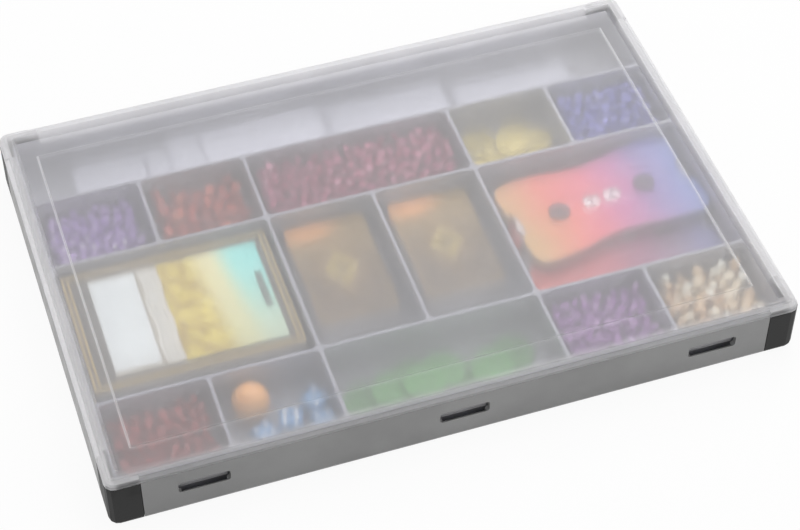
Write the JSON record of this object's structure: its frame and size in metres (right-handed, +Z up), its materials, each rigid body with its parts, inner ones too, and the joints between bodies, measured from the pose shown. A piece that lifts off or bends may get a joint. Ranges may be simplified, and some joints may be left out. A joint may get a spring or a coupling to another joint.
{
  "type": "game counter storage box",
  "caption": "Flat tray with a frosted snap-fit lid, soft corner guards and a compartment insert that sorts cards, score counters, coins, dice and loose game pieces.",
  "frame": {"origin": "middle of the footprint, on the plane of the underside", "axes": "+X along the long side to the right as seen from the front, +Y to the rear, +Z up"},
  "size_m": [0.3614, 0.2494, 0.033],
  "materials": {
    "tray_plastic": "moulded grey plastic, fine matte grain",
    "guard_rubber": "soft black rubber, satin",
    "insert_plastic": "vacuum formed grey plastic, satin",
    "frosted_lid": "frosted clear plastic, smooth satin",
    "slip_card": "white uncoated card",
    "picture_card": "printed coated card",
    "deck_card": "printed coated cards with pale cut edges",
    "counter_board": "dark board",
    "counter_print": "printed board with a colour gradient",
    "dial_board": "white board with printed numbers",
    "hub_plastic": "smooth dark plastic",
    "coin_plastic": "gold coloured plastic",
    "green_plastic": "smooth green plastic",
    "orange_plastic": "smooth orange plastic",
    "blue_plastic": "polished blue plastic with white pips",
    "violet_stone": "polished violet plastic",
    "red_stone": "polished red plastic",
    "crimson_stone": "polished crimson plastic",
    "blue_stone": "polished blue plastic",
    "amber_stone": "polished amber plastic"
  },
  "bodies": {
    "box": {"base_tray": "tray_plastic", "corner_guard_front_left": "guard_rubber", "corner_guard_front_right": "guard_rubber", "corner_guard_rear_right": "guard_rubber", "corner_guard_rear_left": "guard_rubber", "compartment_insert": "insert_plastic", "large_card_deck": "deck_card", "large_picture_card": "picture_card", "card_deck_left": "deck_card", "card_deck_right": "deck_card", "card_slip_1": "slip_card", "card_slip_2": "slip_card", "card_slip_3": "slip_card", "card_slip_4": "slip_card", "card_slip_5": "slip_card", "card_slip_6": "slip_card", "card_slip_7": "slip_card", "counter_lower_back": "counter_board", "counter_lower_cover": "counter_print", "counter_lower_tens_hub": "hub_plastic", "counter_lower_units_hub": "hub_plastic", "counter_upper_back": "counter_board", "counter_upper_cover": "counter_print", "counter_upper_tens_hub": "hub_plastic", "counter_upper_units_hub": "hub_plastic", "violet_crystals": "violet_stone", "red_crystals": "red_stone", "crimson_crystals": "crimson_stone", "blue_crystals": "blue_stone", "red_front_crystals": "red_stone", "violet_front_crystals": "violet_stone", "amber_crystals": "amber_stone", "coin_1": "coin_plastic", "coin_2": "coin_plastic", "coin_3": "coin_plastic", "coin_4": "coin_plastic", "coin_5": "coin_plastic", "coin_6": "coin_plastic", "coin_7": "coin_plastic", "green_token_1": "green_plastic", "green_token_2": "green_plastic", "green_token_3": "green_plastic", "green_token_4": "green_plastic", "green_token_5": "green_plastic", "green_token_6": "green_plastic", "green_token_7": "green_plastic", "green_token_8": "green_plastic", "orange_ball": "orange_plastic", "blue_die_1": "blue_plastic", "blue_die_2": "blue_plastic", "blue_die_3": "blue_plastic", "blue_die_4": "blue_plastic"},
    "lid": {"lid": "frosted_lid"},
    "lower_tens_dial": {"counter_lower_tens_dial": "dial_board"},
    "lower_units_dial": {"counter_lower_units_dial": "dial_board"},
    "upper_tens_dial": {"counter_upper_tens_dial": "dial_board"},
    "upper_units_dial": {"counter_upper_units_dial": "dial_board"}
  },
  "joints": [
    {"name": "lid_lift", "type": "slide", "parent": "box", "child": "lid", "axis": [0, 0, 1], "range_m": [0, 0.06]},
    {"name": "lower_tens_turn", "type": "hinge", "parent": "box", "child": "lower_tens_dial", "pos_m": [0.09131, -0.03542, 0.0081], "axis": [0, 0, 1], "continuous": true},
    {"name": "lower_units_turn", "type": "hinge", "parent": "box", "child": "lower_units_dial", "pos_m": [0.14269, -0.03696, 0.0081], "axis": [0, 0, 1], "continuous": true},
    {"name": "upper_tens_turn", "type": "hinge", "parent": "box", "child": "upper_tens_dial", "pos_m": [0.0926, -0.01516, 0.0159], "axis": [0, 0, 1], "continuous": true},
    {"name": "upper_units_turn", "type": "hinge", "parent": "box", "child": "upper_units_dial", "pos_m": [0.14369, -0.00951, 0.0159], "axis": [0, 0, 1], "continuous": true}
  ]
}
